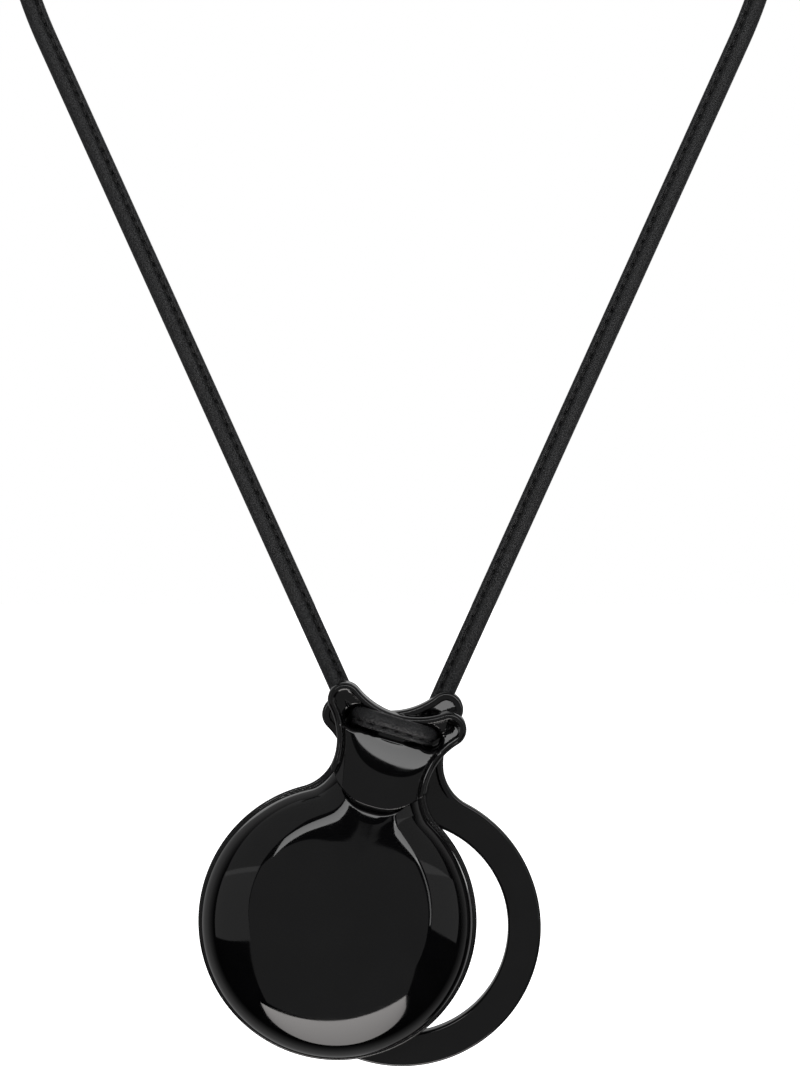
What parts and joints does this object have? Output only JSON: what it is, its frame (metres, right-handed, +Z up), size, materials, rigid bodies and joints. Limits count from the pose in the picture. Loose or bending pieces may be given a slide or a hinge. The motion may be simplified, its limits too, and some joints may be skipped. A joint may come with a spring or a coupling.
{
  "type": "castanet pendant necklace",
  "caption": "Castanet pendant: a domed shell leaf and an open ring leaf hang fanned on a stitched leather neck cord that closes at the nape with a sprung clasp.",
  "frame": {"origin": "middle of the loop at the nape, where the necklace hangs", "axes": "+Z up, -Y towards the viewer, out of the domed front leaf, +X to the viewer's right"},
  "size_m": [0.187, 0.029, 0.3774],
  "materials": {
    "lacquer": "polished black lacquer",
    "cord_leather": "matte black leather with a stitched seam",
    "cord_filler": "twisted cotton",
    "steel": "polished",
    "spring_steel": "plain"
  },
  "bodies": {
    "root": {"neck_cord": "cord_leather", "cord_core": "cord_filler", "end_cap_left": "steel", "end_cap_right": "steel", "jump_ring_left": "steel", "jump_ring_right": "steel", "clasp_body": "steel", "gate_pin": "steel", "gate_spring": "spring_steel"},
    "front_leaf": {"front_shell": "lacquer"},
    "rear_leaf": {"rear_ring": "lacquer"},
    "gate": {"clasp_gate": "steel"}
  },
  "joints": [
    {"name": "front_fan", "type": "hinge", "parent": "root", "child": "front_leaf", "pos_m": [0, -0.0105, -0.2958], "axis": [0, -1, 0], "range_deg": [-4, 18.5], "deforming": ["neck_cord", "cord_core"]},
    {"name": "rear_clap", "type": "hinge", "parent": "root", "child": "rear_leaf", "pos_m": [0, -0.01035, -0.2958], "axis": [0.999, 0, 0.0436], "range_deg": [0, 8], "deforming": ["neck_cord", "cord_core"]},
    {"name": "gate_swing", "type": "hinge", "parent": "root", "child": "gate", "pos_m": [-0.0015, 0, -0.0015], "axis": [0, -1, 0], "range_deg": [0, 25], "stiffness_Nm_per_rad": 0.005, "springref_deg": -17.19, "deforming": ["gate_spring"]}
  ]
}
